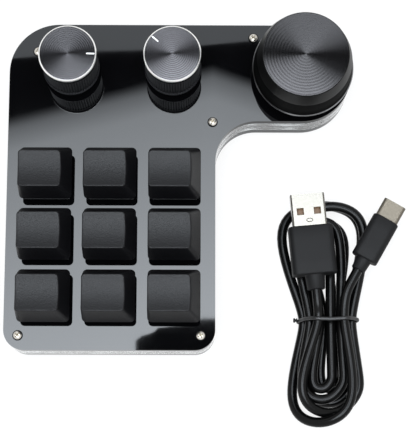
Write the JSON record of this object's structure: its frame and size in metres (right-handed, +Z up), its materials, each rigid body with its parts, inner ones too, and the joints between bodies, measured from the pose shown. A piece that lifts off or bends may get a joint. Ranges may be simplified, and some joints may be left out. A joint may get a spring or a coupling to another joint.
{
  "type": "single-handed keypad",
  "caption": "Single-handed keypad: stacked acrylic sheets with sculpted keys, knurled push knobs and a large turned dial, with its detached data lead tied in a hank beside it.",
  "frame": {"origin": "under the middle of the keypad without its lead, on the surface that its feet stand on", "axes": "+X to the right across the keys, +Y from the keys towards the dials, +Z up"},
  "size_m": [0.1396, 0.1441, 0.043],
  "materials": {
    "black_acrylic": "polished black acrylic sheet, laser-cut edge",
    "clear_acrylic": "clear acrylic sheet, laser-cut edge",
    "smoked_acrylic": "dark acrylic sheet, laser-cut edge",
    "foot_rubber": "matt black rubber",
    "standoff_brass": "turned brass",
    "screw_nickel": "nickel-plated steel",
    "board_laminate": "solder-masked laminate",
    "chip_resin": "moulded resin",
    "socket_steel": "plated steel",
    "switch_housing": "moulded nylon",
    "stem_plastic": "moulded acetal",
    "spring_steel": "drawn spring wire",
    "contact_brass": "stamped brass pin",
    "keycap_plastic": "moulded keycap, fine matt texture",
    "encoder_metal": "plated steel can",
    "rotor_plastic": "moulded plastic",
    "shaft_aluminium": "turned aluminium",
    "knob_aluminium": "knurled and anodised, spun top with a cut bright edge",
    "dial_aluminium": "black anodised, fine turned face",
    "cord_vinyl": "black vinyl jacket",
    "tie_vinyl": "vinyl-covered wire",
    "plug_metal": "plated steel shell",
    "plug_tongue": "moulded plastic",
    "plug_grip": "moulded vinyl grip"
  },
  "bodies": {
    "keypad_case": {"top_plate": "black_acrylic", "upper_frame": "clear_acrylic", "lower_frame": "clear_acrylic", "bottom_plate": "smoked_acrylic", "rubber_feet": "foot_rubber", "standoffs": "standoff_brass", "top_screws": "screw_nickel", "bottom_screws": "screw_nickel", "circuit_board": "board_laminate", "board_chips": "chip_resin", "usb_socket": "socket_steel", "switch_bases": "switch_housing", "switch_covers": "switch_housing", "switch_pins": "contact_brass", "encoder_bodies": "encoder_metal", "spring_1": "spring_steel", "spring_2": "spring_steel", "spring_3": "spring_steel", "spring_4": "spring_steel", "spring_5": "spring_steel", "spring_6": "spring_steel", "spring_7": "spring_steel", "spring_8": "spring_steel", "spring_9": "spring_steel"},
    "key_1": {"keycap_1": "keycap_plastic", "stem_1": "stem_plastic"},
    "key_2": {"keycap_2": "keycap_plastic", "stem_2": "stem_plastic"},
    "key_3": {"keycap_3": "keycap_plastic", "stem_3": "stem_plastic"},
    "key_4": {"keycap_4": "keycap_plastic", "stem_4": "stem_plastic"},
    "key_5": {"keycap_5": "keycap_plastic", "stem_5": "stem_plastic"},
    "key_6": {"keycap_6": "keycap_plastic", "stem_6": "stem_plastic"},
    "key_7": {"keycap_7": "keycap_plastic", "stem_7": "stem_plastic"},
    "key_8": {"keycap_8": "keycap_plastic", "stem_8": "stem_plastic"},
    "key_9": {"keycap_9": "keycap_plastic", "stem_9": "stem_plastic"},
    "left_turning_ring": {"left_rotor": "rotor_plastic"},
    "left_dial": {"left_knob": "knob_aluminium", "left_shaft": "shaft_aluminium"},
    "middle_turning_ring": {"middle_rotor": "rotor_plastic"},
    "middle_dial": {"middle_knob": "knob_aluminium", "middle_shaft": "shaft_aluminium"},
    "large_turning_ring": {"large_rotor": "rotor_plastic"},
    "large_dial": {"large_knob": "dial_aluminium", "large_shaft": "shaft_aluminium"},
    "usb_lead": {"cable_hank": "cord_vinyl", "cable_tie": "tie_vinyl", "usb_a_shell": "plug_metal", "usb_a_tongue": "plug_tongue", "usb_a_grip": "plug_grip", "usb_c_shell": "plug_metal", "usb_c_grip": "plug_grip"}
  },
  "joints": [
    {"name": "key_1_press", "type": "slide", "parent": "keypad_case", "child": "key_1", "axis": [0, 0, 1], "range_m": [-0.004, 0], "stiffness_N_per_m": 100, "springref_m": 0.0025, "deforming": ["spring_1"]},
    {"name": "key_2_press", "type": "slide", "parent": "keypad_case", "child": "key_2", "axis": [0, 0, 1], "range_m": [-0.004, 0], "stiffness_N_per_m": 100, "springref_m": 0.0025, "deforming": ["spring_2"]},
    {"name": "key_3_press", "type": "slide", "parent": "keypad_case", "child": "key_3", "axis": [0, 0, 1], "range_m": [-0.004, 0], "stiffness_N_per_m": 100, "springref_m": 0.0025, "deforming": ["spring_3"]},
    {"name": "key_4_press", "type": "slide", "parent": "keypad_case", "child": "key_4", "axis": [0, 0, 1], "range_m": [-0.004, 0], "stiffness_N_per_m": 100, "springref_m": 0.0025, "deforming": ["spring_4"]},
    {"name": "key_5_press", "type": "slide", "parent": "keypad_case", "child": "key_5", "axis": [0, 0, 1], "range_m": [-0.004, 0], "stiffness_N_per_m": 100, "springref_m": 0.0025, "deforming": ["spring_5"]},
    {"name": "key_6_press", "type": "slide", "parent": "keypad_case", "child": "key_6", "axis": [0, 0, 1], "range_m": [-0.004, 0], "stiffness_N_per_m": 100, "springref_m": 0.0025, "deforming": ["spring_6"]},
    {"name": "key_7_press", "type": "slide", "parent": "keypad_case", "child": "key_7", "axis": [0, 0, 1], "range_m": [-0.004, 0], "stiffness_N_per_m": 100, "springref_m": 0.0025, "deforming": ["spring_7"]},
    {"name": "key_8_press", "type": "slide", "parent": "keypad_case", "child": "key_8", "axis": [0, 0, 1], "range_m": [-0.004, 0], "stiffness_N_per_m": 100, "springref_m": 0.0025, "deforming": ["spring_8"]},
    {"name": "key_9_press", "type": "slide", "parent": "keypad_case", "child": "key_9", "axis": [0, 0, 1], "range_m": [-0.004, 0], "stiffness_N_per_m": 100, "springref_m": 0.0025, "deforming": ["spring_9"]},
    {"name": "left_knob_turn", "type": "hinge", "parent": "keypad_case", "child": "left_turning_ring", "pos_m": [-0.03823, 0.04072, 0.016], "axis": [0, 0, 1], "continuous": true},
    {"name": "left_knob_push", "type": "slide", "parent": "left_turning_ring", "child": "left_dial", "axis": [0, 0, 1], "range_m": [-0.0005, 0], "stiffness_N_per_m": 500, "springref_m": 0.004},
    {"name": "middle_knob_turn", "type": "hinge", "parent": "keypad_case", "child": "middle_turning_ring", "pos_m": [-0.00263, 0.04072, 0.016], "axis": [0, 0, 1], "continuous": true},
    {"name": "middle_knob_push", "type": "slide", "parent": "middle_turning_ring", "child": "middle_dial", "axis": [0, 0, 1], "range_m": [-0.0005, 0], "stiffness_N_per_m": 500, "springref_m": 0.004},
    {"name": "large_knob_turn", "type": "hinge", "parent": "keypad_case", "child": "large_turning_ring", "pos_m": [0.04267, 0.04022, 0.016], "axis": [0, 0, 1], "continuous": true},
    {"name": "large_knob_push", "type": "slide", "parent": "large_turning_ring", "child": "large_dial", "axis": [0, 0, 1], "range_m": [-0.0005, 0], "stiffness_N_per_m": 500, "springref_m": 0.004},
    {"name": "usb_lead_lift", "type": "slide", "parent": "keypad_case", "child": "usb_lead", "axis": [0, 0, 1], "range_m": [0, 0.06]}
  ]
}
